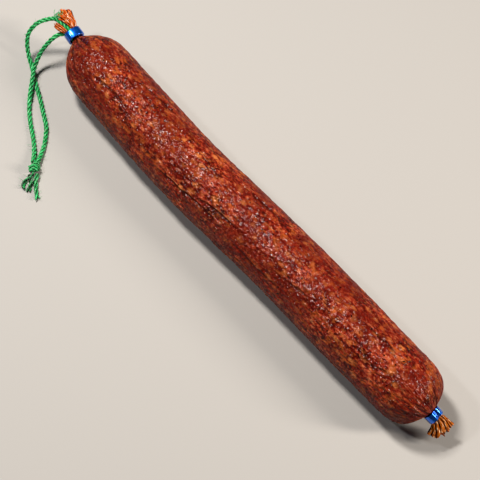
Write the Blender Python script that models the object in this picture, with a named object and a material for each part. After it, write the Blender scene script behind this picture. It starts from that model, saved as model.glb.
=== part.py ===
"""Cured sausage lying on its side, as a solid model in metres with +Z up.

One casing forms the body, its two gathered necks and the pleated tails beyond the clips, so it
is one solid. A flat metal clip closes each neck. A loop of twine is held in one clip: its two
legs run down to an overhand knot, and the frayed ends leave the knot. The body lies along X on
a narrow flat strip, and the origin is below the middle of its bounding box.
"""

import math

import bpy
import bmesh
from mathutils import Vector

# Body: (x, value) stations, eased from one to the next.
BODY_RADIUS = ((-0.1587, 0.0206), (-0.0487, 0.0210), (0.0713, 0.0210), (0.1613, 0.0203))
BODY_BOW = ((-0.1587, 0.0004), (-0.0487, -0.0022), (0.0613, 0.0012), (0.1613, 0.0021))
ALONG = Vector((1.0, 0.0, 0.0))
ACROSS = Vector((0.0, 1.0, 0.0))
FLAT_DEPTH = 0.00035
SIDES = 56
MIDDLE_RINGS = 15

# Lumps of the filling: each wave as (radians per metre along, turns around, phase).
LUMP_DEPTH = 0.0003
LUMP_WAVES = ((71.0, 0.0, 1.3), (113.0, 2.0, 0.0), (23.0, 2.0, 0.0), (-47.0, 3.0, 0.8))
LUMP_FREE_ANGLE = 0.9

# Clips: a closed flat band. "rim" is the centre of the rim next to the body.
LOOP_CLIP = {
    "rim": Vector((-0.1591, 0.0029, 0.0223)), "axis": Vector((-6.2, 0.4, 1.0)).normalized(),
    "width": 0.0058, "half_across": 0.0055, "half_up": 0.0047, "groove": math.radians(285)}
PLAIN_CLIP = {
    "rim": Vector((0.1633, 0.0029, 0.0193)), "axis": Vector((0.80, 0.20, -0.56)).normalized(),
    "width": 0.0048, "half_across": 0.0050, "half_up": 0.0043, "groove": math.radians(85)}
BAND = 0.0016
BAND_CHAMFER = 0.0003
GROOVE_DEPTH = 0.0008
GROOVE_SPREAD = 0.22
CLIP_SIDES = 40
GAP = 0.0003

# Ends of the body: the length and the curve of each shoulder, and the pleats towards its neck.
LOOP_END = {
    "clip": LOOP_CLIP, "inward": 1, "length": 0.0284,
    "side_power": 2.3, "tip_power": 1.0, "pleats": 14, "pleat_depth": 0.0009, "phase": 0.4}
PLAIN_END = {
    "clip": PLAIN_CLIP, "inward": -1, "length": 0.0238,
    "side_power": 2.9, "tip_power": 2.23, "pleats": 14, "pleat_depth": 0.0007, "phase": 2.0}
NECK_TO_RIM = 0.0006
NECK_RADIUS = 0.0031
NECK_PULL_POWER = 1.4
PLEAT_LEFT_AT_SHOULDER = 0.3
END_RINGS = 9

# Casing tails: a flared, pleated skirt, hollow at its free edge, that gives way to the twine.
LOOP_TAIL = {
    "tip": Vector((-0.1765, 0.0048, 0.0246)), "across": Vector((0.10, 1.0, -0.04)),
    "half_across": 0.0070, "half_up": 0.0036, "pleats": 8, "phase": 0.6, "pleat_depth": 0.26,
    "longer_at": math.radians(20), "lengthen": 0.0022}
PLAIN_TAIL = {
    "tip": Vector((0.1741, 0.0013, 0.0131)), "across": Vector((0.34, 0.92, 0.19)),
    "half_across": 0.0076, "half_up": 0.0036, "pleats": 10, "phase": 0.0, "pleat_depth": 0.24,
    "longer_at": math.radians(195), "lengthen": 0.0014}
TAIL_OPENING = 0.55
FULL_PLEAT_SHARE = 0.6
TAIL_BEND_SHARE = 0.4
TAIL_RINGS = 7
TAIL_WALL = 0.0009
TAIL_HOLLOW = (0.85, 0.6, 0.45)
NOTCH_CLEARANCE = 0.0005
NOTCH_HALF_WIDTH = 0.0018
STARTS_WITHIN = 0.0050

# Twine: each leg runs from the clip's outer rim to the knot, then the ends leave the knot.
TWINE_RADIUS = 0.0012
FRAYED_RADIUS = 0.0009
STEP_DIAMETERS = 2.0
CURVE_PARTS = 16
UPPER_LEG = (
    (-0.1646, 0.0016, 0.0271), (-0.1703, 0.0008, 0.0276), (-0.1737, 0.0002, 0.0280),
    (-0.1773, -0.0016, 0.0279), (-0.1824, -0.0088, 0.0248), (-0.1844, -0.0150, 0.0186),
    (-0.1827, -0.0187, 0.0124), (-0.1777, -0.0218, 0.0066), (-0.1707, -0.0246, 0.0028),
    (-0.1617, -0.0290, 0.0013), (-0.1503, -0.0339, 0.0013), (-0.1400, -0.0389, 0.0013),
    (-0.1317, -0.0430, 0.0013), (-0.1257, -0.0478, 0.0013), (-0.1197, -0.0540, 0.0015),
    (-0.1127, -0.0633, 0.0035))
LOWER_LEG = (
    (-0.1665, -0.0013, 0.0229), (-0.1674, -0.0022, 0.0229), (-0.1683, -0.0038, 0.0227),
    (-0.1691, -0.0070, 0.0219), (-0.1701, -0.0120, 0.0183),
    (-0.1708, -0.0167, 0.0132), (-0.1697, -0.0215, 0.0084), (-0.1672, -0.0258, 0.0056),
    (-0.1627, -0.0303, 0.0046), (-0.1562, -0.0369, 0.0030), (-0.1497, -0.0425, 0.0015),
    (-0.1417, -0.0478, 0.0013), (-0.1280, -0.0552, 0.0014), (-0.1207, -0.0600, 0.0022),
    (-0.1144, -0.0654, 0.0035))
KNOT_CENTRE = Vector((-0.1108, -0.0671, 0.0039))
KNOT_AXIS = Vector((0.77, -0.63, -0.03)).normalized()
KNOT_LENGTH = 0.0068
KNOT_FACE_RADIUS = 0.0030
KNOT_RADIUS = 0.0036
KNOT_WRAPS = 3
KNOT_SIDES = 16
KNOT_RINGS = 12
LEFT_END = (
    (-0.1089, -0.0715, 0.0027), (-0.1083, -0.0744, 0.0018), (-0.1078, -0.0769, 0.0012),
    (-0.1064, -0.0790, 0.0011), (-0.1039, -0.0795, 0.0011))
MIDDLE_END = (
    (-0.1079, -0.0698, 0.0046), (-0.1057, -0.0733, 0.0032), (-0.1031, -0.0764, 0.0015),
    (-0.1007, -0.0795, 0.0011))
RIGHT_END = (
    (-0.1065, -0.0681, 0.0031), (-0.1038, -0.0711, 0.0018), (-0.1001, -0.0739, 0.0013),
    (-0.0958, -0.0765, 0.0013), (-0.0926, -0.0781, 0.0013))


def ease(share):
    share = min(max(share, 0.0), 1.0)
    return share * share * (3.0 - 2.0 * share)


def between(start, end, share):
    return start + (end - start) * share


def at_station(stations, x):
    """The value of an eased row of stations at x."""
    for (x0, value0), (x1, value1) in zip(stations, stations[1:]):
        if x <= x1:
            return between(value0, value1, ease((x - x0) / (x1 - x0)))
    return stations[-1][1]


def angles(count):
    return [2.0 * math.pi * step / count for step in range(count)]


def angle_from(theta, centre):
    """Signed angle from centre to theta, within half a turn."""
    return (theta - centre + math.pi) % (2.0 * math.pi) - math.pi


def fold(pleated, theta):
    """How deep in a pleat an angle is: 0 on a crest, 1 in a valley."""
    return 0.5 - 0.5 * math.cos(pleated["pleats"] * theta + pleated["phase"])


def cross_directions(axis, across):
    """Two directions square to axis: one near across, and one that points up."""
    sideways = (across - axis * across.dot(axis)).normalized()
    upward = axis.cross(sideways)
    if upward.z < 0:
        upward = -upward
    return sideways, upward


def make_material(name, colour, roughness, metallic):
    material = bpy.data.materials.new(name)
    material.use_nodes = True
    shader = material.node_tree.nodes["Principled BSDF"]
    shader.inputs["Base Color"].default_value = (*colour, 1.0)
    shader.inputs["Roughness"].default_value = roughness
    shader.inputs["Metallic"].default_value = metallic
    return material


def add_object(name, shape, material):
    node = bpy.data.objects.new(name, shape)
    bpy.context.scene.collection.objects.link(node)
    shape.materials.append(material)
    return node


def add_mesh(name, build, material):
    """A named object whose mesh is closed, faces outwards and is shaded smooth."""
    bm = bmesh.new()
    build(bm)
    bmesh.ops.recalc_face_normals(bm, faces=bm.faces)
    mesh = bpy.data.meshes.new(name)
    bm.to_mesh(mesh)
    bm.free()
    mesh.shade_smooth()
    mesh.set_sharp_from_angle(angle=math.radians(40))
    return add_object(name, mesh, material)


def skin(bm, first, second):
    """Faces between two rings of vertices."""
    count = len(first)
    for step in range(count):
        following = (step + 1) % count
        bm.faces.new((first[step], first[following], second[following], second[step]))


def cap(bm, ring):
    """Closes a ring with a fan about its middle."""
    middle = bm.verts.new(sum((vert.co for vert in ring), Vector()) / len(ring))
    for step in range(len(ring)):
        bm.faces.new((ring[step], ring[(step + 1) % len(ring)], middle))


def loft(bm, rings):
    """A closed skin over rings of points, capped at both ends."""
    vertex_rings = [[bm.verts.new(point) for point in ring] for ring in rings]
    for first, second in zip(vertex_rings, vertex_rings[1:]):
        skin(bm, first, second)
    cap(bm, vertex_rings[0])
    cap(bm, vertex_rings[-1])


# Body

def body_centre(x):
    return Vector((x, at_station(BODY_BOW, x), at_station(BODY_RADIUS, x) - FLAT_DEPTH))


def lumps(x, theta):
    """Slow unevenness of the filling, inwards, and none over the strip the body rests on."""
    waves = sum(
        math.sin(along * x + around * theta + phase) for along, around, phase in LUMP_WAVES)
    inwards = 0.5 + 0.5 * waves / len(LUMP_WAVES)
    from_below = abs(angle_from(theta, 1.5 * math.pi))
    return LUMP_DEPTH * inwards * ease(from_below / LUMP_FREE_ANGLE)


def body_ring(centre, axis, reach):
    """A ring square to axis, whose distance from the centre is a function of the angle."""
    sideways, upward = cross_directions(axis, ACROSS)
    ring = []
    for theta in angles(SIDES):
        direction = sideways * math.cos(theta) + upward * math.sin(theta)
        point = centre + direction * reach(theta)
        point.z = max(point.z, 0.0)
        ring.append(point)
    return ring


def middle_ring(x):
    radius = at_station(BODY_RADIUS, x)
    return body_ring(body_centre(x), ALONG, lambda theta: radius - lumps(x, theta))


def neck_centre(end):
    return end["clip"]["rim"] - end["clip"]["axis"] * NECK_TO_RIM


def shoulder_ring(end, share):
    """A ring of a rounded end: share 0 is the neck, 1 is the full body."""
    neck = neck_centre(end)
    rise = math.sin(0.5 * math.pi * share)
    from_neck = end["length"] * (
        1.0 - (1.0 - rise ** end["tip_power"]) ** (1.0 / end["side_power"]))
    x = neck.x + end["inward"] * from_neck
    radius = between(NECK_RADIUS, at_station(BODY_RADIUS, x), rise)
    pull = (1.0 - rise) ** NECK_PULL_POWER
    centre = body_centre(x)
    centre.y = between(centre.y, neck.y, pull)
    centre.z = between(centre.z, neck.z, pull)
    axis = between(ALONG * -end["inward"], end["clip"]["axis"], pull).normalized()
    depth = end["pleat_depth"] * between(1.0, PLEAT_LEFT_AT_SHOULDER, rise)
    depth *= math.sin(math.pi * max(share, 0.1))

    def reach(theta):
        return radius - depth * fold(end, theta) - rise * lumps(x, theta)

    return body_ring(centre, axis, reach)


def body_rings():
    """Rings from the loop end's neck to the plain end's neck."""
    start = neck_centre(LOOP_END).x + LOOP_END["length"]
    end = neck_centre(PLAIN_END).x - PLAIN_END["length"]
    shares = [step / END_RINGS for step in range(END_RINGS)]
    rings = [shoulder_ring(LOOP_END, share) for share in shares]
    for step in range(MIDDLE_RINGS + 1):
        rings.append(middle_ring(between(start, end, step / MIDDLE_RINGS)))
    rings += [shoulder_ring(PLAIN_END, share) for share in reversed(shares)]
    return rings


# Clips

def clip_directions(clip):
    return cross_directions(clip["axis"], ACROSS)


def clip_far_rim(clip):
    return clip["rim"] + clip["axis"] * clip["width"]


def clip_ring(clip, along, inset, grooved):
    """A closed outline of the band, inset from its outer face, at a distance along its axis."""
    sideways, upward = clip_directions(clip)
    ring = []
    for theta in angles(CLIP_SIDES):
        near = math.exp(-(angle_from(theta, clip["groove"]) / GROOVE_SPREAD) ** 2)
        reach = inset + (GROOVE_DEPTH * near if grooved else 0.0)
        point = clip["rim"] + clip["axis"] * along
        point += sideways * (clip["half_across"] - reach) * math.cos(theta)
        point += upward * (clip["half_up"] - reach) * math.sin(theta)
        ring.append(point)
    return ring


def build_clip(bm, clip):
    width = clip["width"]
    low, high = BAND_CHAMFER, width - BAND_CHAMFER
    shallow, deep = BAND_CHAMFER, BAND - BAND_CHAMFER
    profile = (
        (low, 0.0, True), (high, 0.0, True), (width, shallow, True), (width, deep, False),
        (high, BAND, False), (low, BAND, False), (0.0, deep, False), (0.0, shallow, True))
    rings = [[bm.verts.new(point) for point in clip_ring(clip, *corner)] for corner in profile]
    for first, second in zip(rings, rings[1:] + rings[:1]):
        skin(bm, first, second)


def neck_ring(clip, along):
    """The gathered casing inside the band, clear of it by the gap."""
    sideways, upward = clip_directions(clip)
    across = clip["half_across"] - BAND - GAP
    height = clip["half_up"] - BAND - GAP
    centre = clip["rim"] + clip["axis"] * along
    return [
        centre + sideways * across * math.cos(theta) + upward * height * math.sin(theta)
        for theta in angles(SIDES)]


# Tails

def twine_crossings(centre, axis):
    """Where each leg of twine crosses, or starts just beyond, a plane square to axis."""
    crossings = []
    for route in (UPPER_LEG, LOWER_LEG):
        points = smooth_route(route, TWINE_RADIUS)
        heights = [(point - centre).dot(axis) for point in points]
        if 0.0 < heights[0] < STARTS_WITHIN:
            crossings.append(points[0] - axis * heights[0])
        for point, low, high in zip(points, heights, heights[1:]):
            if low <= 0.0 < high:
                crossings.append(point)
                break
    return crossings


def notched(reach, theta, crossing):
    """The reach, held short of a twine that lies at crossing: its distance and angle."""
    distance, angle = crossing
    limit = max(distance - TWINE_RADIUS - NOTCH_CLEARANCE, NECK_RADIUS / 2)
    spread = NOTCH_HALF_WIDTH / distance
    near = math.exp(-(angle_from(theta, angle) / spread) ** 4)
    return between(reach, min(reach, limit), near)


def tail_ring(clip, tail, share, wall=0.0):
    """A ring of the skirt: share 0 is at the clip, 1 at the free edge."""
    base = clip_far_rim(clip)
    length = (tail["tip"] - base).length
    bend = base + clip["axis"] * length * TAIL_BEND_SHARE
    centre = between(between(base, bend, share), between(bend, tail["tip"], share), share)
    axis = between(clip["axis"], (tail["tip"] - bend).normalized(), share).normalized()
    sideways, upward = cross_directions(axis, tail["across"])
    opening = share ** TAIL_OPENING
    across = between(clip["half_across"] - BAND - GAP, tail["half_across"], opening)
    height = between(clip["half_up"] - BAND - GAP, tail["half_up"], opening)
    crossings = []
    for point in twine_crossings(centre, axis):
        right, up = (point - centre).dot(sideways), (point - centre).dot(upward)
        crossings.append((math.hypot(right, up), math.atan2(up, right)))
    ring = []
    for theta in angles(SIDES):
        ellipse = across * height / math.hypot(height * math.cos(theta), across * math.sin(theta))
        depth = tail["pleat_depth"] * ease(share / FULL_PLEAT_SHARE)
        reach = ellipse * (1.0 - depth * fold(tail, theta))
        for crossing in crossings:
            reach = notched(reach, theta, crossing)
        longer = tail["lengthen"] * math.cos(theta - tail["longer_at"]) * share * share
        direction = sideways * math.cos(theta) + upward * math.sin(theta)
        ring.append(centre + direction * (reach - wall) + axis * longer)
    return ring


def tail_rings(clip, tail):
    """Rings from the clip out to the free edge and back down the inside of the skirt."""
    outside = [tail_ring(clip, tail, step / TAIL_RINGS) for step in range(1, TAIL_RINGS + 1)]
    inside = [tail_ring(clip, tail, share, TAIL_WALL) for share in (0.97, *TAIL_HOLLOW)]
    neck = [neck_ring(clip, clip["width"] * share) for share in (0.0, 0.5, 1.0)]
    return neck + outside + inside


def build_casing(bm):
    near = tail_rings(LOOP_CLIP, LOOP_TAIL)
    far = tail_rings(PLAIN_CLIP, PLAIN_TAIL)
    loft(bm, near[::-1] + body_rings() + far)


# Twine

def smooth_route(points, step):
    """Points about one step apart on a smooth curve through the route's own points."""
    route = [Vector(point) for point in points]
    padded = [2 * route[0] - route[1], *route, 2 * route[-1] - route[-2]]
    fine = []
    for before, start, end, after in zip(padded, padded[1:], padded[2:], padded[3:]):
        for share in (part / CURVE_PARTS for part in range(CURVE_PARTS)):
            bend = (end - before) * share + (2 * before - 5 * start + 4 * end - after) * share ** 2
            bend += (3 * start - before - 3 * end + after) * share ** 3
            fine.append(start + bend / 2)
    fine.append(route[-1])
    lengths = [0.0]
    for first, second in zip(fine, fine[1:]):
        lengths.append(lengths[-1] + (second - first).length)
    count = max(2, round(lengths[-1] / step))
    spaced = []
    index = 0
    for part in range(count + 1):
        wanted = lengths[-1] * part / count
        while index < len(fine) - 2 and lengths[index + 1] < wanted:
            index += 1
        share = (wanted - lengths[index]) / (lengths[index + 1] - lengths[index])
        spaced.append(between(fine[index], fine[index + 1], share))
    return spaced


def add_twine(name, points, radius, material):
    curve = bpy.data.curves.new(name, "CURVE")
    curve.dimensions = "3D"
    curve.bevel_depth = radius
    curve.bevel_resolution = 2
    curve.use_fill_caps = True
    route = smooth_route(points, STEP_DIAMETERS * 2.0 * radius)
    spline = curve.splines.new("POLY")
    spline.points.add(len(route) - 1)
    for control, point in zip(spline.points, route):
        control.co = (*point, 1.0)
    return add_object(name, curve, material)


def build_knot(bm):
    """A barrel of wraps with a flat face at each end, where the twine meets it."""
    sideways, upward = cross_directions(KNOT_AXIS, ACROSS)
    rings = []
    for step in range(KNOT_RINGS + 1):
        share = step / KNOT_RINGS
        swell = math.sin(math.pi * share) ** 0.5
        wrap = abs(math.sin(math.pi * KNOT_WRAPS * share))
        radius = between(KNOT_FACE_RADIUS, KNOT_RADIUS, swell * (0.6 + 0.4 * wrap))
        centre = KNOT_CENTRE + KNOT_AXIS * KNOT_LENGTH * (share - 0.5)
        rings.append([
            centre + (sideways * math.cos(theta) + upward * math.sin(theta)) * radius
            for theta in angles(KNOT_SIDES)])
    loft(bm, rings)


def clear_scene():
    for node in list(bpy.data.objects):
        bpy.data.objects.remove(node, do_unlink=True)


def main():
    clear_scene()
    casing = make_material("smoked casing", (0.19, 0.033, 0.012), 0.35, 0.0)
    metal = make_material("blue anodised metal", (0.01, 0.10, 0.45), 0.25, 0.9)
    twine = make_material("green twine", (0.03, 0.27, 0.08), 0.8, 0.0)
    add_mesh("sausage", build_casing, casing)
    add_mesh("clip_loop_end", lambda bm: build_clip(bm, LOOP_CLIP), metal)
    add_mesh("clip_plain_end", lambda bm: build_clip(bm, PLAIN_CLIP), metal)
    add_mesh("twine_knot", build_knot, twine)
    add_twine("twine_upper_leg", UPPER_LEG, TWINE_RADIUS, twine)
    add_twine("twine_lower_leg", LOWER_LEG, TWINE_RADIUS, twine)
    add_twine("twine_left_end", LEFT_END, FRAYED_RADIUS, twine)
    add_twine("twine_middle_end", MIDDLE_END, FRAYED_RADIUS, twine)
    add_twine("twine_right_end", RIGHT_END, TWINE_RADIUS, twine)


main()
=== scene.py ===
# A cured sausage lying on its side: one casing closed by two clips, with a loop of twine.
import math
import random

import bmesh
import bpy
import numpy as np
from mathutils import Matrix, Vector, noise


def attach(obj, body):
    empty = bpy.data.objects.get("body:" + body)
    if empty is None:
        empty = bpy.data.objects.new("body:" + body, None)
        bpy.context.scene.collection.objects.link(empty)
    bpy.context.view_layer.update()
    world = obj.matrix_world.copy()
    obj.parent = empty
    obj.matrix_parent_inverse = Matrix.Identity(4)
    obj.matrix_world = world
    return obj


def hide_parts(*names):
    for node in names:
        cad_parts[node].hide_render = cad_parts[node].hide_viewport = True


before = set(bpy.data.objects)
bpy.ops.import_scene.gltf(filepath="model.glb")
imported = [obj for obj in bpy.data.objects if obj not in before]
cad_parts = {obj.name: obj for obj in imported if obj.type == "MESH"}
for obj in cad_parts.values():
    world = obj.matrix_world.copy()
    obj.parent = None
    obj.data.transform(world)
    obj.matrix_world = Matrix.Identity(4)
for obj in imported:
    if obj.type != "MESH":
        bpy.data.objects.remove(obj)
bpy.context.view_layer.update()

print("frame loaded:", len(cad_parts), "nodes")


# Small helpers

def hexToLinear(code):
    parts = [int(code[place:place + 2], 16) / 255 for place in (1, 3, 5)]
    parts = [part / 12.92 if part <= 0.04045 else ((part + 0.055) / 1.055) ** 2.4 for part in parts]
    return (*parts, 1.0)


def ease(share):
    share = np.clip(share, 0.0, 1.0)
    return share * share * (3.0 - 2.0 * share)


def unit(vector):
    return vector / np.linalg.norm(vector)


def deselectAll():
    if bpy.context.object and bpy.context.object.mode != "OBJECT":
        bpy.ops.object.mode_set(mode="OBJECT")
    bpy.ops.object.select_all(action="DESELECT")


def newMaterial(name):
    material = bpy.data.materials.new(name)
    material.use_nodes = True
    material.node_tree.nodes.clear()
    return material, material.node_tree


# Adds one node: its settings, its ramp stops, and its inputs as values or as links.
def addNode(tree, kind, inputs=None, stops=None, **settings):
    node = tree.nodes.new(kind)
    for name, value in settings.items():
        setattr(node, name, value)
    if stops:
        ramp = node.color_ramp
        while len(ramp.elements) < len(stops):
            ramp.elements.new(0.5)
        for element, (place, code) in zip(ramp.elements, stops):
            element.position = place
            element.color = hexToLinear(code)
    for socket, value in (inputs or {}).items():
        if isinstance(value, bpy.types.NodeSocket):
            tree.links.new(value, node.inputs[socket])
        else:
            node.inputs[socket].default_value = value
    return node


# Gives a finished piece its one material and hangs it on the root body.
def finishPiece(piece, material):
    piece.data.materials.clear()
    piece.data.materials.append(material)
    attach(piece, "root")
    deselectAll()
    return piece


def meshPiece(name, points, faces, attribute=None, places=None):
    mesh = bpy.data.meshes.new(name)
    mesh.from_pydata([tuple(point) for point in points], [], [tuple(face) for face in faces])
    mesh.validate()
    if attribute:
        layer = mesh.attributes.new(attribute, "FLOAT_VECTOR", "POINT")
        layer.data.foreach_set("vector", np.asarray(places, dtype=np.float32).ravel())
    mesh.shade_smooth()
    piece = bpy.data.objects.new(name, mesh)
    bpy.context.scene.collection.objects.link(piece)
    return piece


# Camera, floor and lights

cameraSetup = {
    "azimuth": 50.63, "elevation": 60.0, "distance": 1.0989, "lens": 143.0,
    "target": (0.01382, -0.00964, 0.021)}


def addCamera(setup):
    azimuth, elevation = math.radians(setup["azimuth"]), math.radians(setup["elevation"])
    back = Vector((
        math.sin(azimuth) * math.cos(elevation), -math.cos(azimuth) * math.cos(elevation),
        math.sin(elevation)))
    bpy.ops.object.camera_add(
        location=Vector(setup["target"]) + back * setup["distance"],
        rotation=back.to_track_quat("Z", "Y").to_euler())
    bpy.context.object.data.lens = setup["lens"]
    bpy.context.object.data.sensor_width = 36.0
    bpy.context.scene.camera = bpy.context.object


floorSetup = {"size": 6.0, "colour": "#a3a19e"}

lightSetups = {
    "overheadSoftbox": {
        "at": (-0.46, -0.06, 1.05), "aim": (0.0, 0.0, 0.0), "size": (0.16, 0.24), "watts": 17.0,
        "colour": "#fff8f0"},
    "sparkleLamp": {
        "at": (-0.42, -0.45, 0.9), "aim": (0.0, 0.0, 0.0), "size": (0.08, 0.08), "watts": 2.5,
        "colour": "#ffffff"},
    "backStrip": {
        "at": (0.75, 0.56, 0.62), "aim": (0.1, 0.0, 0.02), "size": (0.14, 0.46), "watts": 12.0,
        "colour": "#fff4e8"}}
worldSetup = {"colour": "#cfd3d8", "strength": 0.06}


def addStudio():
    bpy.ops.mesh.primitive_plane_add(size=floorSetup["size"])
    floor = bpy.context.object
    floor.name = "studioFloor"
    material, tree = newMaterial("matte painted board")
    shader = addNode(tree, "ShaderNodeBsdfPrincipled", {
        "Base Color": hexToLinear(floorSetup["colour"]), "Roughness": 0.85})
    addNode(tree, "ShaderNodeOutputMaterial", {"Surface": shader.outputs[0]})
    floor.data.materials.append(material)
    for name, setup in lightSetups.items():
        away = Vector(setup["at"]) - Vector(setup["aim"])
        bpy.ops.object.light_add(
            type="AREA", location=setup["at"], rotation=away.to_track_quat("Z", "Y").to_euler())
        light = bpy.context.object
        light.name = name
        light.data.shape = "RECTANGLE"
        light.data.size, light.data.size_y = setup["size"]
        light.data.energy = setup["watts"]
        light.data.color = hexToLinear(setup["colour"])[:3]
    world = bpy.data.worlds.new("softRoom")
    world.use_nodes = True
    backdrop = world.node_tree.nodes["Background"]
    backdrop.inputs["Color"].default_value = hexToLinear(worldSetup["colour"])
    backdrop.inputs["Strength"].default_value = worldSetup["strength"]
    bpy.context.scene.world = world
    bpy.context.scene.view_settings.view_transform = "Standard"


deselectAll()
addCamera(cameraSetup)
addStudio()
deselectAll()
print("camera and studio done")


# Twine: three plies laid round each other, from the clip down to the knot

twine = {
    "radius": 0.0012, "plyRadius": 0.00068, "plyOffset": 0.00076, "turn": 0.0100, "looseTurn": 0.0160,
    "sample": 0.0005, "sides": 8}

# Routes of the twine in metres, as in the part's source.
upperLeg = [
    (-0.1646, 0.0016, 0.0271), (-0.1703, 0.0008, 0.0276), (-0.1737, 0.0002, 0.0280),
    (-0.1773, -0.0016, 0.0279), (-0.1824, -0.0088, 0.0248), (-0.1844, -0.0150, 0.0186),
    (-0.1827, -0.0187, 0.0124), (-0.1777, -0.0218, 0.0066), (-0.1707, -0.0246, 0.0028),
    (-0.1617, -0.0290, 0.0013), (-0.1503, -0.0339, 0.0013), (-0.1400, -0.0389, 0.0013),
    (-0.1317, -0.0430, 0.0013), (-0.1257, -0.0478, 0.0013), (-0.1197, -0.0540, 0.0015),
    (-0.1127, -0.0633, 0.0035)]
lowerLeg = [
    (-0.1665, -0.0013, 0.0229), (-0.1674, -0.0022, 0.0229), (-0.1683, -0.0038, 0.0227),
    (-0.1691, -0.0070, 0.0219), (-0.1701, -0.0120, 0.0183), (-0.1708, -0.0167, 0.0132),
    (-0.1697, -0.0215, 0.0084), (-0.1672, -0.0258, 0.0056), (-0.1627, -0.0303, 0.0046),
    (-0.1562, -0.0369, 0.0030), (-0.1497, -0.0425, 0.0015), (-0.1417, -0.0478, 0.0013),
    (-0.1280, -0.0552, 0.0014), (-0.1207, -0.0600, 0.0022), (-0.1144, -0.0654, 0.0035)]
leftEnd = [
    (-0.1089, -0.0715, 0.0027), (-0.1083, -0.0744, 0.0018), (-0.1078, -0.0769, 0.0012),
    (-0.1064, -0.0790, 0.0011), (-0.1039, -0.0795, 0.0011)]
middleEnd = [
    (-0.1079, -0.0698, 0.0046), (-0.1057, -0.0733, 0.0032), (-0.1031, -0.0764, 0.0015),
    (-0.1007, -0.0795, 0.0011)]
rightEnd = [
    (-0.1065, -0.0681, 0.0031), (-0.1038, -0.0711, 0.0018), (-0.1001, -0.0739, 0.0013),
    (-0.0958, -0.0765, 0.0013), (-0.0926, -0.0781, 0.0013)]
# Where each leg comes from inside the clip, ahead of its route.
upperStart = [(-0.1600, 0.0022, 0.0232), (-0.1634, 0.0019, 0.0247)]
lowerStart = [(-0.1590, 0.0012, 0.0222), (-0.1630, 0.0003, 0.0226)]
# The loose clump of fibres by the tail's corner: where it comes off the leg, and its far end.
looseClump = {
    "start": (-0.1754, 0.0002, 0.0291), "end": (-0.1778, 0.0044, 0.0300), "spread": 0.0009,
    "fibres": 16, "radius": 0.00016, "seed": 21}

knot = {
    "centre": (-0.1108, -0.0671, 0.0039), "axis": (0.77, -0.63, -0.03), "length": 0.0068,
    "wrapRadius": 0.0024, "turns": 2.35}


# Evenly spaced points on a smooth curve through a route's own points.
def smoothRoute(points, spacing):
    route = np.array(points, dtype=float)
    padded = np.vstack([2 * route[0] - route[1], route, 2 * route[-1] - route[-2]])
    fine = []
    for before, start, end, after in zip(padded, padded[1:], padded[2:], padded[3:]):
        for share in np.linspace(0.0, 1.0, 24, endpoint=False):
            bend = (end - before) * share + (2 * before - 5 * start + 4 * end - after) * share ** 2
            bend += (3 * start - before - 3 * end + after) * share ** 3
            fine.append(start + bend / 2)
    fine = np.array(fine + [route[-1]])
    lengths = np.concatenate([[0.0], np.cumsum(np.linalg.norm(np.diff(fine, axis=0), axis=1))])
    count = max(3, round(lengths[-1] / spacing))
    wanted = np.linspace(0.0, lengths[-1], count + 1)
    return np.stack([np.interp(wanted, lengths, fine[:, side]) for side in range(3)], axis=1)


# Directions square to a line of points, carried along it without turning round it.
def carriedFrames(line):
    tangents = np.gradient(line, axis=0)
    tangents /= np.linalg.norm(tangents, axis=1)[:, None]
    first = unit(np.cross(tangents[0], (0.0, 0.0, 1.0)))
    sideways = []
    for tangent in tangents:
        first = unit(first - tangent * np.dot(first, tangent))
        sideways.append(first)
    sideways = np.array(sideways)
    return tangents, sideways, np.cross(tangents, sideways)


# A closed tube along a line, with a radius at each point, and rounded ends.
def tubeMesh(line, radii, sides, start, twistTurn):
    tangents, sideways, upward = carriedFrames(line)
    count = len(line)
    angles = np.arange(sides) * 2.0 * math.pi / sides
    along = np.concatenate([[0.0], np.cumsum(np.linalg.norm(np.diff(line, axis=0), axis=1))])
    points = []
    places = []
    for index in range(count):
        for angle in angles:
            way = sideways[index] * math.cos(angle) + upward[index] * math.sin(angle)
            points.append(line[index] + way * radii[index])
            turned = angle + along[index] * twistTurn
            places.append((along[index], 0.0006 * math.cos(turned), 0.0006 * math.sin(turned)))
    faces = []
    for index in range(count - 1):
        for side in range(sides):
            low, high = start + index * sides, start + (index + 1) * sides
            after = (side + 1) % sides
            faces.append((low + side, low + after, high + after, high + side))
    for index, step in ((0, -1), (count - 1, 1)):
        tip = start + len(points)
        points.append(line[index] + tangents[index] * step * radii[index] * 0.6)
        places.append((along[index], 0.0, 0.0))
        ring = start + index * sides
        for side in range(sides):
            after = (side + 1) % sides
            pair = (ring + side, ring + after)
            faces.append((*(pair if step > 0 else pair[::-1]), tip))
    return points, faces, places


# How far out of the twine's middle each point of a ply lies: 0 in a groove, 1 on a crest.
def plyCrests(points, line):
    points, line = np.asarray(points), np.asarray(line)
    crests = np.empty(len(points))
    for first in range(0, len(points), 2000):
        block = points[first:first + 2000]
        away = np.linalg.norm(block[:, None, :] - line[None, :, :], axis=2).min(axis=1)
        crests[first:first + 2000] = np.clip((away - 0.0004) / 0.0010, 0.0, 1.0)
    return crests


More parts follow.
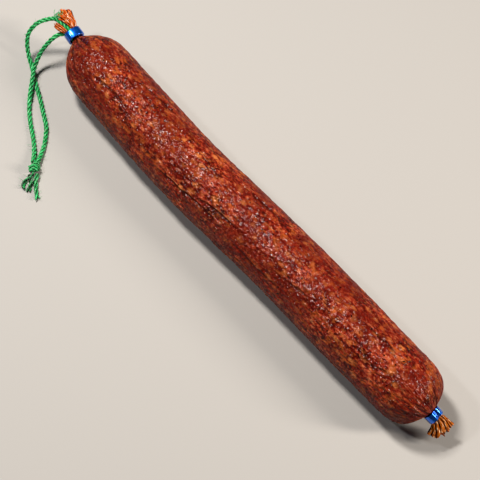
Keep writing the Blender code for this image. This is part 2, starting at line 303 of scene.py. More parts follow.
# Plies laid round one line: each is its own tube, and spread opens them at the far end.
def laidTwine(name, route, plies=3, size=1.0, spread=0.0, phase=0.0, turn=twine["turn"]):
    line = smoothRoute(route, twine["sample"])
    _, sideways, upward = carriedFrames(line)
    along = np.arange(len(line)) * twine["sample"]
    toEnd = along[-1] - along
    rng = random.Random(name)
    points, faces, places = [], [], []
    for ply in range(plies):
        turned = 2.0 * math.pi * (along / (turn * size) + ply / plies) + phase
        offset = twine["plyOffset"] * size * (1.0 if plies == 3 else 0.9)
        opened = offset + spread * ease((0.0036 - toEnd) / 0.0036)
        wander = 0.00005 * np.sin(along * 1900.0 + ply * 2.1)
        way = sideways * np.cos(turned)[:, None] + upward * np.sin(turned)[:, None]
        centre = line + way * (opened + wander)[:, None]
        radii = twine["plyRadius"] * size * (1.0 + 0.07 * np.sin(along * 2600.0 + ply))
        short = int(rng.uniform(0.0, 0.0016) / twine["sample"]) if spread else 0
        kept = len(line) - short
        radii = radii * np.clip(0.45 + toEnd / 0.0015, 0.0, 1.0)
        # A ply that would sink into the ground is pressed flat on it.
        centre[:, 2] = np.maximum(centre[:, 2], twine["plyRadius"] * 1.08)
        part = tubeMesh(centre[:kept], radii[:kept], twine["sides"], len(points), 900.0)
        for whole, some in zip((points, faces, places), part):
            whole.extend(some)
    piece = meshPiece(name, points, faces, "plyPlace", places)
    layer = piece.data.attributes.new("plyCrest", "FLOAT", "POINT")
    layer.data.foreach_set("value", plyCrests(points, line).astype(np.float32))
    return piece, line


# Stray fibres: short bent hairs that stand off the plies.
def addHairs(points, faces, places, line, count, rng, reach=(0.0012, 0.0030)):
    for _ in range(count):
        index = rng.randrange(2, len(line) - 2)
        tangent = unit(line[index + 1] - line[index - 1])
        way = unit(np.array([rng.gauss(0, 1), rng.gauss(0, 1), rng.gauss(0.5, 1)]))
        way = unit(way - tangent * np.dot(way, tangent) + tangent * rng.uniform(-0.8, 0.8))
        bend = unit(np.array([rng.gauss(0, 1), rng.gauss(0, 1), rng.gauss(0, 1)]))
        length = rng.uniform(*reach)
        hair = []
        for step in range(5):
            share = step / 4
            spot = line[index] + way * (0.0009 + length * share) + bend * length * 0.35 * share ** 2
            spot[2] = max(spot[2], 0.0002)
            hair.append(spot)
        part = tubeMesh(np.array(hair), [0.00007] * 4 + [0.00004], 3, len(points), 0.0)
        for whole, some in zip((points, faces, places), part):
            whole.extend(some)


# The loose clump: curled fibres teased out of the upper leg.
def addClump(points, faces, places):
    rng = random.Random(looseClump["seed"])
    start, end = np.array(looseClump["start"]), np.array(looseClump["end"])
    spread = looseClump["spread"]
    for _ in range(looseClump["fibres"]):
        first = start + np.array([rng.gauss(0, 0.25) for _ in range(3)]) * spread
        last = end + np.array([rng.gauss(0, 0.8) for _ in range(3)]) * spread
        bulge = np.array([rng.gauss(0, 1.3), rng.gauss(0, 1.3), rng.uniform(0.0, 1.2)]) * spread
        reach, phase, turns = rng.uniform(0.5, 1.1), rng.uniform(0.0, 6.3), rng.uniform(0.4, 1.3)
        line = []
        for share in np.linspace(0.0, reach, 16):
            curl = 2.0 * math.pi * turns * share + phase
            swing = np.array((math.cos(curl), math.sin(curl), 0.6 * math.sin(curl + 1.0)))
            line.append(
                first + (last - first) * share + bulge * 4.0 * share * (1.0 - share)
                + swing * 0.5 * spread * share)
        radii = [looseClump["radius"]] * 14 + [0.00009, 0.00004]
        part = tubeMesh(np.array(line), radii, 4, len(points), 500.0)
        for whole, some in zip((points, faces, places), part):
            whole.extend(some)


# The knot: the twine wrapped round itself, with one pass laid over the wraps.
def knotRoutes():
    centre, axis = np.array(knot["centre"]), unit(np.array(knot["axis"]))
    sideways = unit(np.cross(axis, (0.0, 0.0, 1.0)))
    upward = np.cross(sideways, axis)
    wraps = []
    for share in np.linspace(0.0, 1.0, 26):
        angle = 2.0 * math.pi * knot["turns"] * share + 0.9
        radius = knot["wrapRadius"] * (1.0 - 0.55 * abs(2.0 * share - 1.0) ** 5)
        along = knot["length"] * 0.62 * (share - 0.5) + 0.0005 * math.sin(angle + 0.6)
        wraps.append(
            centre + axis * along + sideways * radius * math.cos(angle)
            + upward * radius * math.sin(angle))
    over = []
    for share in np.linspace(0.0, 1.0, 9):
        angle = math.radians(150.0 - 135.0 * share)
        radius = 0.0014 + 0.0016 * math.sin(math.pi * share)
        along = knot["length"] * (share - 0.5) * 0.95
        over.append(
            centre + axis * along + sideways * radius * math.cos(angle)
            + upward * radius * math.sin(angle))
    return wraps, over


# Green polypropylene twine: twisted fine fibres, half matt, with painted shade that darkens the grooves between the
# plies.
def twineMaterial():
    material, tree = newMaterial("twisted polypropylene twine")
    place = addNode(tree, "ShaderNodeAttribute", attribute_name="plyPlace")
    stretched = addNode(tree, "ShaderNodeMapping", {
        "Vector": place.outputs["Vector"], "Scale": (0.16, 1.0, 1.0)})
    fibres = addNode(tree, "ShaderNodeTexNoise", {
        "Vector": stretched.outputs[0], "Scale": 5200.0, "Detail": 2.0, "Roughness": 0.6})
    patches = addNode(tree, "ShaderNodeTexNoise", {
        "Vector": place.outputs["Vector"], "Scale": 520.0, "Detail": 2.0})
    mixed = addNode(tree, "ShaderNodeMix", {
        0: 0.4, 2: fibres.outputs["Fac"], 3: patches.outputs["Fac"]}, data_type="FLOAT")
    colour = addNode(tree, "ShaderNodeValToRGB", {0: mixed.outputs[0]}, stops=[
        (0.36, "#065a28"), (0.46, "#109244"), (0.56, "#2cb864"), (0.68, "#80e8aa")])
    # Painted shade: where a ply's crest value is low, in the grooves, the colour is darkened towards #032a12.
    crest = addNode(tree, "ShaderNodeAttribute", attribute_name="plyCrest")
    groove = addNode(tree, "ShaderNodeMapRange", {
        0: crest.outputs["Fac"], 1: 0.45, 2: 0.95, 3: 0.97, 4: 0.0})
    shaded = addNode(tree, "ShaderNodeMix", {
        0: groove.outputs[0], 6: colour.outputs[0], 7: hexToLinear("#032a12")},
        data_type="RGBA")
    bump = addNode(tree, "ShaderNodeBump", {
        "Strength": 0.5, "Distance": 0.0001, "Height": fibres.outputs["Fac"]})
    shader = addNode(tree, "ShaderNodeBsdfPrincipled", {
        "Base Color": shaded.outputs[2], "Roughness": 0.32, "IOR": 1.49,
        "Specular IOR Level": 0.35,
        "Normal": bump.outputs[0]})
    addNode(tree, "ShaderNodeOutputMaterial", {"Surface": shader.outputs[0]})
    return material


def buildTwine():
    material = twineMaterial()
    rng = random.Random(7)
    upper, upperLine = laidTwine("twineUpperLeg", upperStart + upperLeg)
    lower, lowerLine = laidTwine("twineLowerLeg", lowerStart + lowerLeg, phase=1.0)
    wraps, over = knotRoutes()
    wrapPiece, _ = laidTwine("knotWraps", wraps, size=0.95)
    overPiece, _ = laidTwine("knotPass", over, size=0.92, phase=0.5)
    leftPiece, leftLine = laidTwine(
        "frayedLeftEnd", leftEnd, plies=2, size=0.85, spread=0.0003, turn=twine["looseTurn"])
    middlePiece, middleLine = laidTwine(
        "frayedMiddleEnd", middleEnd, plies=2, size=0.85, spread=0.0003, phase=1.3,
        turn=twine["looseTurn"])
    rightPiece, rightLine = laidTwine(
        "looseRightEnd", rightEnd, size=0.9, spread=0.0006, phase=0.4, turn=twine["looseTurn"])
    points, faces, places = [], [], []
    for line, count in (
            (upperLine, 110), (lowerLine, 90), (leftLine, 12), (middleLine, 12), (rightLine, 16)):
        addHairs(points, faces, places, line, count, rng)
    for line in (leftLine, middleLine, rightLine):
        addHairs(points, faces, places, line[-6:], 7, rng, reach=(0.0006, 0.0014))
    crests = [1.0] * len(points)
    addClump(points, faces, places)
    # The loose clump's fibres take a little of the painted groove shade.
    crests += [0.84] * (len(points) - len(crests))
    hairs = meshPiece("strayFibres", points, faces, "plyPlace", places)
    layer = hairs.data.attributes.new("plyCrest", "FLOAT", "POINT")
    layer.data.foreach_set("value", np.array(crests, dtype=np.float32))
    ends = [wrapPiece, overPiece, leftPiece, middlePiece, rightPiece, hairs]
    for piece in [upper, lower, *ends]:
        finishPiece(piece, material)
    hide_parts("twine_upper_leg")
    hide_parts("twine_lower_leg")
    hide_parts("twine_knot")
    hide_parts("twine_left_end")
    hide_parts("twine_middle_end")
    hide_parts("twine_right_end")
    for name, line in (("upper", upperLine), ("lower", lowerLine)):
        print("twine,", name, "leg:", round(1000 * np.linalg.norm(
            np.diff(line, axis=0), axis=1).sum(), 1), "mm")


buildTwine()
print("twine done")


# Clips: formed bands of blue anodised aluminium

clips = {
    "clipLoopEnd": {
        "node": "clip_loop_end", "rim": (-0.1591, 0.0029, 0.0223), "axis": (-6.2, 0.4, 1.0),
        "width": 0.0058, "halfAcross": 0.0055, "halfUp": 0.0047, "groove": 285.0,
        "grooveDepth": 0.0008, "grooveSpread": 12.0, "squareness": 2.5},
    "clipPlainEnd": {
        "node": "clip_plain_end", "rim": (0.1633, 0.0029, 0.0193), "axis": (0.80, 0.20, -0.56),
        "width": 0.0048, "halfAcross": 0.0050, "halfUp": 0.0043, "groove": 85.0,
        "grooveDepth": 0.0013, "grooveSpread": 13.0, "squareness": 2.2}}
clipBand = {"wall": 0.0013, "bevel": 0.00035, "sides": 120}


# The three directions of a clip: out along its axis, sideways and up.
def clipFrame(clip):
    axis = unit(np.array(clip["axis"]))
    sideways = unit(np.array((0.0, 1.0, 0.0)) - axis * axis[1])
    upward = np.cross(axis, sideways)
    if upward[2] < 0:
        upward = -upward
    return np.array(clip["rim"]), axis, sideways, upward


# Blue anodised aluminium: a dyed clear film over drawn metal, with faint lines round the band.
def clipMaterial():
    material, tree = newMaterial("blue anodised aluminium")
    place = addNode(tree, "ShaderNodeTexCoord")
    drawn = addNode(tree, "ShaderNodeTexNoise", {
        "Vector": place.outputs["Object"], "Scale": 900.0, "Detail": 3.0, "Roughness": 0.7})
    colour = addNode(tree, "ShaderNodeValToRGB", {0: drawn.outputs["Fac"]}, stops=[
        (0.3, "#0055c4"), (0.6, "#0068e0"), (0.8, "#0a80f4")])
    gloss = addNode(tree, "ShaderNodeMapRange", {
        0: drawn.outputs["Fac"], 1: 0.3, 2: 0.7, 3: 0.18, 4: 0.28})
    bump = addNode(tree, "ShaderNodeBump", {
        "Strength": 0.04, "Distance": 0.0001, "Height": drawn.outputs["Fac"]})
    shader = addNode(tree, "ShaderNodeBsdfPrincipled", {
        "Base Color": colour.outputs[0], "Metallic": 0.85, "Roughness": gloss.outputs[0],
        "Specular IOR Level": 0.1, "Coat Weight": 0.8, "Coat Roughness": 0.16, "Normal": bump.outputs[0]})
    addNode(tree, "ShaderNodeOutputMaterial", {"Surface": shader.outputs[0]})
    return material


def buildClip(name, clip, material):
    rim, axis, sideways, upward = clipFrame(clip)
    deselectAll()
    bpy.ops.mesh.primitive_cylinder_add(
        vertices=clipBand["sides"], radius=1.0, depth=1.0, end_fill_type="NOTHING")
    piece = bpy.context.object
    piece.name = piece.data.name = name
    bpy.ops.object.mode_set(mode="EDIT")
    bpy.ops.mesh.select_all(action="SELECT")
    bpy.ops.mesh.subdivide(number_cuts=0)
    bpy.ops.object.mode_set(mode="OBJECT")
    for vertex in piece.data.vertices:
        angle = math.atan2(vertex.co.y, vertex.co.x)
        power = clip["squareness"]
        bulge = (abs(math.cos(angle)) ** power + abs(math.sin(angle)) ** power) ** (-1.0 / power)
        off = (math.degrees(angle) - clip["groove"] + 180.0) % 360.0 - 180.0
        dent = clip["grooveDepth"] * math.exp(-(off / clip["grooveSpread"]) ** 2)
        around = sideways * (clip["halfAcross"] * bulge - dent) * math.cos(angle)
        around += upward * (clip["halfUp"] * bulge - dent) * math.sin(angle)
        vertex.co = rim + axis * clip["width"] * (vertex.co.z + 0.5) + around
    bpy.ops.object.mode_set(mode="EDIT")
    bpy.ops.mesh.select_all(action="SELECT")
    bpy.ops.mesh.normals_make_consistent(inside=False)
    bpy.ops.object.mode_set(mode="OBJECT")
    solid = piece.modifiers.new("bandWall", "SOLIDIFY")
    solid.thickness = clipBand["wall"]
    solid.offset = -1.0
    rounded = piece.modifiers.new("rolledEdges", "BEVEL")
    rounded.width = clipBand["bevel"]
    rounded.segments = 3
    rounded.angle_limit = math.radians(50)
    for modifier in ("bandWall", "rolledEdges"):
        bpy.ops.object.modifier_apply(modifier=modifier)
    bpy.ops.object.shade_smooth_by_angle(angle=math.radians(50))
    finishPiece(piece, material)
    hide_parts(clip["node"])


aluminium = clipMaterial()
for clipName, clipValues in clips.items():
    buildClip(clipName, clipValues, aluminium)
print("clips done")


# Casing: the body with its wrinkles, and its gathered necks

body = {
    "radius": [(-0.1587, 0.0206), (-0.0487, 0.0210), (0.0713, 0.0210), (0.1613, 0.0203)],
    "bow": [(-0.1587, 0.0004), (-0.0487, -0.0022), (0.0613, 0.0012), (0.1613, 0.0021)],
    "flatDepth": 0.00035, "around": 252, "along": 374, "neckRadius": 0.0031,
    "neckInside": 0.0026, "sizeAround": 0.021}
bodyEnds = {
    "loop": {"clip": "clipLoopEnd", "inward": 1, "length": 0.0284, "side": 2.3, "tip": 1.0},
    "plain": {"clip": "clipPlainEnd", "inward": -1, "length": 0.0238, "side": 2.9, "tip": 2.23}}

# Relief in millimetres: (height, size along, size around).
relief = {
    "swell": (0.16, 30.0, 16.0), "lumps": (0.20, 10.0, 7.0), "wrinkles": (0.42, 9.0, 2.5),
    "pebbles": (0.18, 3.4, 2.2), "grain": (0.08, 1.9, 1.3), "sunk": 0.24}
# Creases, each as places (mm along the body, degrees round it) with its depth and width in mm.
creases = [
    {"line": [(-56, 152), (-37, 147), (-9, 141), (2, 143)], "depth": 0.9, "width": 0.65},
    {"line": [(-17, 136), (-9, 130), (2, 128), (14, 127)], "depth": 1.0, "width": 0.7},
    {"line": [(52, 133), (64, 127), (76, 122)], "depth": 0.7, "width": 0.7},
    {"line": [(103, 88), (116, 85), (130, 83)], "depth": 0.7, "width": 0.6},
    {"line": [(-122, 123), (-104, 116), (-90, 118)], "depth": 0.7, "width": 0.8},
    {"line": [(-98, 68), (-80, 60), (-66, 57)], "depth": 0.7, "width": 0.8},
    {"line": [(2, 64), (16, 60), (28, 62)], "depth": 0.8, "width": 0.8},
    {"line": [(18, 150), (38, 153), (56, 150)], "depth": 0.6, "width": 0.8},
    {"line": [(-60, -40), (-30, -33), (0, -36)], "depth": 0.8, "width": 0.8},
    {"line": [(70, 215), (95, 222), (120, 218)], "depth": 0.7, "width": 0.8}]
# Pleats that run from each neck over the shoulder.
pleats = {
    "loop": {"count": 17, "depth": (0.8, 1.8), "reach": (26.0, 52.0), "slant": 0.012, "seed": 3},
    "plain": {"count": 15, "depth": (0.6, 1.3), "reach": (14.0, 32.0), "slant": 0.014, "seed": 9}}


def atStation(stations, x):
    value = np.full(np.shape(x), stations[-1][1], dtype=float)
    for (x0, low), (x1, high) in reversed(list(zip(stations, stations[1:]))):
        value = np.where(x <= x1, low + (high - low) * ease((x - x0) / (x1 - x0)), value)
    return value


def bodyCentre(x):
    return np.stack([x, atStation(body["bow"], x), atStation(body["radius"], x)
                     - body["flatDepth"]], axis=-1)


# Stations over one shoulder, from its neck to the full body: centre, axis and radius.
def shoulderStations(end):
    clip = clips[end["clip"]]
    rim, axis, _, _ = clipFrame(clip)
    neck = rim - axis * 0.0006
    rows = []
    for ahead, radius in ((0.5, body["neckInside"]), (0.05, body["neckInside"])):
        rows.append((*(rim + axis * clip["width"] * ahead), *axis, radius))
    for share in np.linspace(0.0, 1.0, 60):
        rise = math.sin(0.5 * math.pi * share)
        fromNeck = end["length"] * (1.0 - (1.0 - rise ** end["tip"]) ** (1.0 / end["side"]))
        x = neck[0] + end["inward"] * fromNeck
        full = float(atStation(body["radius"], x))
        radius = body["neckRadius"] + (full - body["neckRadius"]) * rise
        pull = (1.0 - rise) ** 1.4
        centre = bodyCentre(x)
        centre[1:] += (neck[1:] - centre[1:]) * pull
        facing = unit(np.array((-end["inward"], 0.0, 0.0)) * (1.0 - pull) + axis * pull)
        rows.append((*centre, *facing, radius))
    return rows


# Evenly spaced stations over the whole casing, with the distance over the skin from x = 0.
def casingStations():
    loop = shoulderStations(bodyEnds["loop"])
    plain = shoulderStations(bodyEnds["plain"])
    middle = []
    for x in np.linspace(loop[-1][0], plain[-1][0], 120)[1:-1]:
        middle.append((*bodyCentre(x), 1.0, 0.0, 0.0, float(atStation(body["radius"], x))))
    rows = np.array(loop + middle + plain[::-1])
    rows[:, 3:6] *= np.where(rows[:, 3] < 0, -1.0, 1.0)[:, None]
    steps = np.hypot(np.linalg.norm(np.diff(rows[:, :3], axis=0), axis=1), np.diff(rows[:, 6]))
    skin = np.concatenate([[0.0], np.cumsum(steps)])
    even = np.linspace(0.0, skin[-1], body["along"] + 1)
    stations = np.stack([np.interp(even, skin, rows[:, item]) for item in range(7)], axis=1)
    return stations, even - np.interp(0.0, stations[:, 0], even)


def noiseField(places, scaleAlong, scaleAround, seed):
    field = np.empty(len(places))
    scaled = places * (1.0 / scaleAlong, 1.0 / scaleAround, 1.0 / scaleAround) + seed
    for index, spot in enumerate(scaled.tolist()):
        field[index] = noise.noise(spot)
    return field


# Distance in millimetres from a drawn line to places along and round the skin, and its side.
def creaseDistance(line, along, around):
    best = np.full(along.shape, 1e3)
    side = np.zeros(along.shape)
    corners = [(s, math.radians(angle) * 21.0) for s, angle in line]
    length = sum(math.dist(a, b) for a, b in zip(corners, corners[1:]))
    run = 0.0
    taper = np.zeros(along.shape)
    for (s0, t0), (s1, t1) in zip(corners, corners[1:]):
        ds, dt = s1 - s0, t1 - t0
        size = math.hypot(ds, dt)
        share = np.clip(((along - s0) * ds + (around - t0) * dt) / size ** 2, 0.0, 1.0)
        offS, offT = along - (s0 + ds * share), around - (t0 + dt * share)
        distance = np.hypot(offS, offT)
        nearer = distance < best
        best = np.where(nearer, distance, best)
        side = np.where(nearer, np.sign(offT), side)
        taper = np.where(nearer, np.sin(math.pi * (run + size * share) / length), taper)
        run += size
    return best, side, np.clip(taper, 0.0, 1.0) ** 0.5


# Outward height of the skin in millimetres at places along (mm) and round it (radians).
def casingRelief(along, theta, radius, fromLoop, fromPlain):
    places = np.stack([
        along, 21.0 * np.cos(theta), 21.0 * np.sin(theta)], axis=1)
    height = np.zeros(len(along))
    for seed, part in enumerate(("swell", "lumps")):
        size, sizeAlong, sizeAround = relief[part]
        height += size * noiseField(places, sizeAlong, sizeAround, 3.1 + 11.7 * seed)
    slow = height.copy()
    # Drying wrinkles: sharp-bottomed furrows that run lengthwise, strongest on the flanks.
    size, sizeAlong, sizeAround = relief["wrinkles"]
    warp = 1.6 * noiseField(places, 14.0, 9.0, 50.3)
    furrow = noiseField(places + np.stack([0 * warp, warp, warp], axis=1), sizeAlong, sizeAround, 71.9)
    finer = noiseField(places, sizeAlong * 0.5, sizeAround * 0.5, 33.3)
    where = 0.35 + 0.65 * ease(0.5 + 1.6 * noiseField(places, 26.0, 12.0, 90.5))
    flank = 0.55 + 0.45 * np.abs(np.cos(theta - 0.1))
    height += size * flank * where * (np.abs(furrow) * 1.7 - 0.45)
    height += 0.4 * size * flank * where * (np.abs(finer) * 1.7 - 0.4)
    for seed, part in enumerate(("pebbles", "grain")):
        size, sizeAlong, sizeAround = relief[part]
        height += size * noiseField(places, sizeAlong, sizeAround, 120.0 + 9.1 * seed)
    for crease in creases:
        middle = 21.0 * math.radians(np.mean([angle for _, angle in crease["line"]]))
        around = 21.0 * theta
        around = middle + (around - middle + 21.0 * math.pi) % (42.0 * math.pi) - 21.0 * math.pi
        wobble = 0.5 * noiseField(places, 5.0, 5.0, 200.0)
        distance, side, taper = creaseDistance(crease["line"], along, around + wobble)
        cut = np.exp(-(distance / crease["width"]) ** 2)
        lip = np.exp(-((distance - 1.6 * crease["width"]) / (0.8 * crease["width"])) ** 2) * (side < 0)
        height += crease["depth"] * taper * (0.6 * lip - cut)
    for name, fromNeck in (("loop", fromLoop), ("plain", fromPlain)):
        gather = pleats[name]
        rng = random.Random(gather["seed"])
        for index in range(gather["count"]):
            angle = 2.0 * math.pi * (index + rng.uniform(-0.3, 0.3)) / gather["count"]
            depth, reach = rng.uniform(*gather["depth"]), rng.uniform(*gather["reach"])
            slant = rng.uniform(-1.0, 1.0) * gather["slant"]
            curve = 0.25 * math.sin(index * 2.4)
            off = theta - angle - slant * fromNeck - curve * (fromNeck / 30.0) ** 2
            off = (off + math.pi) % (2.0 * math.pi) - math.pi
            distance = off * np.minimum(radius * 1000.0, 21.0)
            width = 0.45 + 0.018 * fromNeck
            fade = ease(1.2 * (1.0 - fromNeck / reach)) * np.clip(fromNeck / 2.0, 0.25, 1.0)
            height -= depth * fade * np.exp(-(distance / width) ** 2)
            height += 0.35 * depth * fade * np.exp(-((distance - 2.0 * width) / width) ** 2)
    return height - relief["sunk"], height - slow


# Smoked collagen casing over coarse meat: red-brown skin that shows each piece of meat and fat below it, with painted
# shade in the furrows and a painted highlight on the raised relief, under a thin film of grease that glints on the
# crinkles.
def casingMaterial():
    material, tree = newMaterial("smoked collagen casing")
    place = addNode(tree, "ShaderNodeAttribute", attribute_name="casingPlace")
    depth = addNode(tree, "ShaderNodeAttribute", attribute_name="casingDepth")
    wander = addNode(tree, "ShaderNodeTexNoise", {
        "Vector": place.outputs["Vector"], "Scale": 420.0, "Detail": 2.0})
    shift = addNode(tree, "ShaderNodeVectorMath", {
        0: wander.outputs["Color"], 1: (0.0016, 0.0016, 0.0016)}, operation="MULTIPLY")
    moved = addNode(tree, "ShaderNodeVectorMath", {
        0: place.outputs["Vector"], 1: shift.outputs[0]}, operation="ADD")
    drawn = addNode(tree, "ShaderNodeMapping", {
        "Vector": moved.outputs[0], "Scale": (0.6, 1.0, 1.0)})
    # Minced meat, drawn out along the body: pieces of 2 mm in patches of 6 mm.
    mince = addNode(tree, "ShaderNodeTexNoise", {
        "Vector": drawn.outputs[0], "Scale": 560.0, "Detail": 2.0, "Roughness": 0.6})
    mottle = addNode(tree, "ShaderNodeTexNoise", {
        "Vector": drawn.outputs[0], "Scale": 150.0, "Detail": 4.0, "Roughness": 0.65})
    meatTone = addNode(tree, "ShaderNodeMix", {
        0: 0.5, 2: mince.outputs["Fac"], 3: mottle.outputs["Fac"]}, data_type="FLOAT")
    meat = addNode(tree, "ShaderNodeValToRGB", {0: meatTone.outputs[0]}, stops=[
        (0.37, "#240402"), (0.44, "#480b05"), (0.50, "#6c170c"), (0.55, "#862715"),
        (0.61, "#a6482a"), (0.68, "#c8784e")])
    # Fat: soft orange flecks, 2 to 3 mm long, thicker in some places than in others.
    flecks = addNode(tree, "ShaderNodeTexNoise", {
        "Vector": drawn.outputs[0], "Scale": 330.0, "Detail": 1.0, "Roughness": 0.5})
    clusters = addNode(tree, "ShaderNodeTexNoise", {
        "Vector": place.outputs["Vector"], "Scale": 90.0, "Detail": 2.0, "Roughness": 0.6})
    fatLevel = addNode(tree, "ShaderNodeMix", {
        0: 0.4, 2: flecks.outputs["Fac"], 3: clusters.outputs["Fac"]}, data_type="FLOAT")
    fatShare = addNode(tree, "ShaderNodeMapRange", {
        0: fatLevel.outputs[0], 1: 0.52, 2: 0.62, 3: 0.0, 4: 0.7})
    marbled = addNode(tree, "ShaderNodeMix", {
        0: fatShare.outputs[0], 6: meat.outputs[0], 7: hexToLinear("#a64e1e")},
        data_type="RGBA")
    # Whole pieces of fat pressed against the skin: round pale spots of 2 mm, in one cell of three.
    spots = addNode(tree, "ShaderNodeTexVoronoi", {
        "Vector": drawn.outputs[0], "Scale": 240.0})
    spotParts = addNode(tree, "ShaderNodeSeparateXYZ", {0: spots.outputs["Color"]})
    spotPicked = addNode(tree, "ShaderNodeMapRange", {
        0: spotParts.outputs[0], 1: 0.60, 2: 0.80, 3: 0.0, 4: 1.0})
    spotRound = addNode(tree, "ShaderNodeMapRange", {
        0: spots.outputs["Distance"], 1: 0.16, 2: 0.42, 3: 0.8, 4: 0.0})
    spotShare = addNode(tree, "ShaderNodeMath", {
        0: spotPicked.outputs[0], 1: spotRound.outputs[0]}, operation="MULTIPLY")
    spotted = addNode(tree, "ShaderNodeMix", {
        0: spotShare.outputs[0], 6: marbled.outputs[2], 7: hexToLinear("#c4703a")},
        data_type="RGBA")
    # Grain of the mince through the skin, 1 mm across: dark gaps, which sit in the dimples of the fine bump and are
    # partly painted shade, and pale crumbs, which sit on its raised spots and are partly painted light.
    grain = addNode(tree, "ShaderNodeTexNoise", {
        "Vector": drawn.outputs[0], "Scale": 900.0, "Detail": 1.0, "Roughness": 0.5})
    # Dark gaps, partly painted shade in the fine bump's dimples.
    gapAndPitShadeShare = addNode(tree, "ShaderNodeMapRange", {
        0: grain.outputs["Fac"], 1: 0.56, 2: 0.68, 3: 0.0, 4: 0.7})
    gappedAndPitShaded = addNode(tree, "ShaderNodeMix", {
        0: gapAndPitShadeShare.outputs[0], 6: spotted.outputs[2], 7: hexToLinear("#3a0a05")},
        data_type="RGBA")
    # Pale crumbs, partly painted light on the fine bump's raised spots.
    crumbAndRiseLightShare = addNode(tree, "ShaderNodeMapRange", {
        0: grain.outputs["Fac"], 1: 0.40, 2: 0.30, 3: 0.0, 4: 0.4})
    crumbedAndRiseLit = addNode(tree, "ShaderNodeMix", {
        0: crumbAndRiseLightShare.outputs[0], 6: gappedAndPitShaded.outputs[2], 7: hexToLinear("#c06e44")},
        data_type="RGBA")
    # Slow change of smoke colour along and round the body, over 20 to 40 mm.
    smoke = addNode(tree, "ShaderNodeTexNoise", {
        "Vector": place.outputs["Vector"], "Scale": 42.0, "Detail": 2.0})
    smokeShare = addNode(tree, "ShaderNodeMapRange", {
        0: smoke.outputs["Fac"], 1: 0.42, 2: 0.6, 3: 0.0, 4: 0.6})
    smoked = addNode(tree, "ShaderNodeMix", {
        0: smokeShare.outputs[0], 6: crumbedAndRiseLit.outputs[2], 7: hexToLinear("#5c130a")},
        data_type="RGBA")
    # Painted shade darkens the furrows of the relief, and a painted highlight makes its raised parts, the lips of the
    # creases among them, paler.
    furrowShadeShare = addNode(tree, "ShaderNodeMapRange", {
        0: depth.outputs["Fac"], 1: -0.5, 2: 0.0, 3: 0.75, 4: 0.0})
    furrowShaded = addNode(tree, "ShaderNodeMix", {
        0: furrowShadeShare.outputs[0], 6: smoked.outputs[2], 7: hexToLinear("#2c0604")},
        data_type="RGBA")
    # Painted highlight on the raised relief, lightened towards #bc7048.
    lipHighlightShare = addNode(tree, "ShaderNodeMapRange", {
        0: depth.outputs["Fac"], 1: 0.22, 2: 0.5, 3: 0.0, 4: 0.6})
    lipHighlighted = addNode(tree, "ShaderNodeMix", {
        0: lipHighlightShare.outputs[0], 6: furrowShaded.outputs[2], 7: hexToLinear("#bc7048")},
        data_type="RGBA")
    # Cracked pepper under the skin, well apart.
    pepper = addNode(tree, "ShaderNodeTexVoronoi", {
        "Vector": moved.outputs[0], "Scale": 210.0})
    pepperShare = addNode(tree, "ShaderNodeMapRange", {
        0: pepper.outputs["Distance"], 1: 0.09, 2: 0.15, 3: 1.0, 4: 0.0})
    speckled = addNode(tree, "ShaderNodeMix", {
        0: pepperShare.outputs[0], 6: lipHighlighted.outputs[2], 7: hexToLinear("#160403")},
        data_type="RGBA")
    # Crinkles: a net of fine raised folds round shallow pits, 2 mm across.
    crinkle = addNode(tree, "ShaderNodeTexVoronoi", {
        "Vector": moved.outputs[0], "Scale": 480.0, "Smoothness": 0.4}, feature="SMOOTH_F1")
    crinkleBump = addNode(tree, "ShaderNodeBump", {
        "Strength": 1.0, "Distance": 0.0008, "Height": crinkle.outputs["Distance"]})
    # Fine lengthwise streaks, 1 mm apart and 4 mm long.
    stretched = addNode(tree, "ShaderNodeMapping", {
        "Vector": moved.outputs[0], "Scale": (0.35, 1.0, 1.0)})
    streaks = addNode(tree, "ShaderNodeTexNoise", {
        "Vector": stretched.outputs[0], "Scale": 620.0, "Detail": 1.0, "Roughness": 0.5})
    streakBump = addNode(tree, "ShaderNodeBump", {
        "Strength": 1.0, "Distance": 0.0006, "Height": streaks.outputs["Fac"],
        "Normal": crinkleBump.outputs[0]})
    fineBump = addNode(tree, "ShaderNodeBump", {
        "Strength": 1.0, "Distance": 0.0004, "Height": grain.outputs["Fac"],
        "Normal": streakBump.outputs[0]}, invert=True)
    shader = addNode(tree, "ShaderNodeBsdfPrincipled", {
        "Base Color": speckled.outputs[2], "Roughness": 0.4, "IOR": 1.45,
        "Specular IOR Level": 0.0, "Coat Weight": 0.28, "Coat Roughness": 0.14,
        "Coat Normal": streakBump.outputs[0], "Normal": fineBump.outputs[0]})
    addNode(tree, "ShaderNodeOutputMaterial", {"Surface": shader.outputs[0]})
    return material


